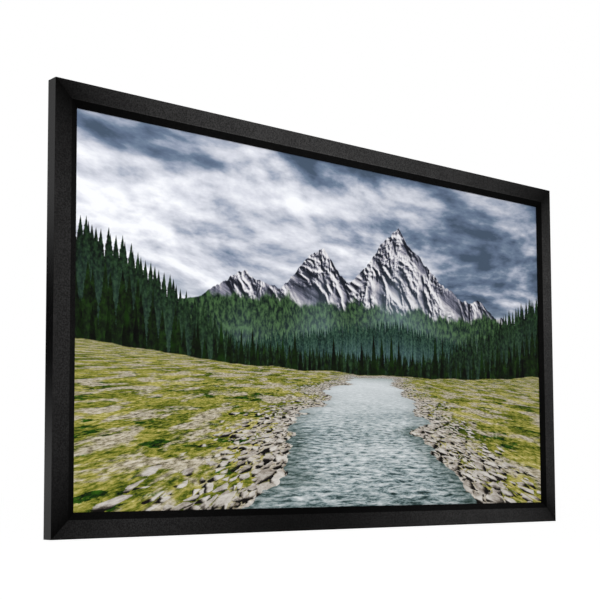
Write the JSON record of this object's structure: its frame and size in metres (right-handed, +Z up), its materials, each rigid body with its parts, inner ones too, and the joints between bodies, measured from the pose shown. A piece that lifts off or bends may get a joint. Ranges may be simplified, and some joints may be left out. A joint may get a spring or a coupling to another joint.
{
  "type": "fixed frame projector screen",
  "caption": "Wall-hung projector screen: a white sheet stretched on springs in a bevelled black velvet frame of mitred aluminium rails, hooked on wall brackets.",
  "frame": {"origin": "the middle of the whole object's box: half its width, half its height and half its depth, the wall brackets included", "axes": "+X to the right as seen from the front, +Y back towards the wall, +Z up; the white sheet faces -Y"},
  "size_m": [2.374, 0.05, 1.405],
  "materials": {
    "black_aluminium": "satin",
    "black_velvet": "matte",
    "fibreglass": "satin",
    "spring_steel": "satin",
    "white_vinyl": "matte",
    "black_plastic": "matte",
    "zinc_steel": "satin",
    "black_steel": "satin"
  },
  "bodies": {
    "root": {"bottom_rail": "black_aluminium", "bottom_velvet": "black_velvet", "bottom_rod": "fibreglass", "bottom_spring_1": "spring_steel", "bottom_spring_2": "spring_steel", "bottom_spring_3": "spring_steel", "bottom_spring_4": "spring_steel", "bottom_spring_5": "spring_steel", "bottom_spring_6": "spring_steel", "bottom_spring_7": "spring_steel", "bottom_spring_8": "spring_steel", "bottom_spring_9": "spring_steel", "bottom_spring_10": "spring_steel", "bottom_spring_11": "spring_steel", "right_rail": "black_aluminium", "right_velvet": "black_velvet", "right_rod": "fibreglass", "right_spring_1": "spring_steel", "right_spring_2": "spring_steel", "right_spring_3": "spring_steel", "right_spring_4": "spring_steel", "right_spring_5": "spring_steel", "right_spring_6": "spring_steel", "top_rail": "black_aluminium", "top_velvet": "black_velvet", "top_rod": "fibreglass", "top_spring_1": "spring_steel", "top_spring_2": "spring_steel", "top_spring_3": "spring_steel", "top_spring_4": "spring_steel", "top_spring_5": "spring_steel", "top_spring_6": "spring_steel", "top_spring_7": "spring_steel", "top_spring_8": "spring_steel", "top_spring_9": "spring_steel", "top_spring_10": "spring_steel", "top_spring_11": "spring_steel", "left_rail": "black_aluminium", "left_velvet": "black_velvet", "left_rod": "fibreglass", "left_spring_1": "spring_steel", "left_spring_2": "spring_steel", "left_spring_3": "spring_steel", "left_spring_4": "spring_steel", "left_spring_5": "spring_steel", "left_spring_6": "spring_steel", "screen_sheet": "white_vinyl", "support_bar": "black_aluminium", "top_bar_clip": "black_plastic", "top_bar_screw": "zinc_steel", "top_left_wall_bracket": "black_steel", "top_right_wall_bracket": "black_steel", "bottom_bar_clip": "black_plastic", "bottom_bar_screw": "zinc_steel", "bottom_left_wall_bracket": "black_steel", "bottom_right_wall_bracket": "black_steel", "bottom_left_corner_bracket": "zinc_steel", "bottom_right_corner_bracket": "zinc_steel", "top_right_corner_bracket": "zinc_steel", "top_left_corner_bracket": "zinc_steel"}
  },
  "joints": []
}
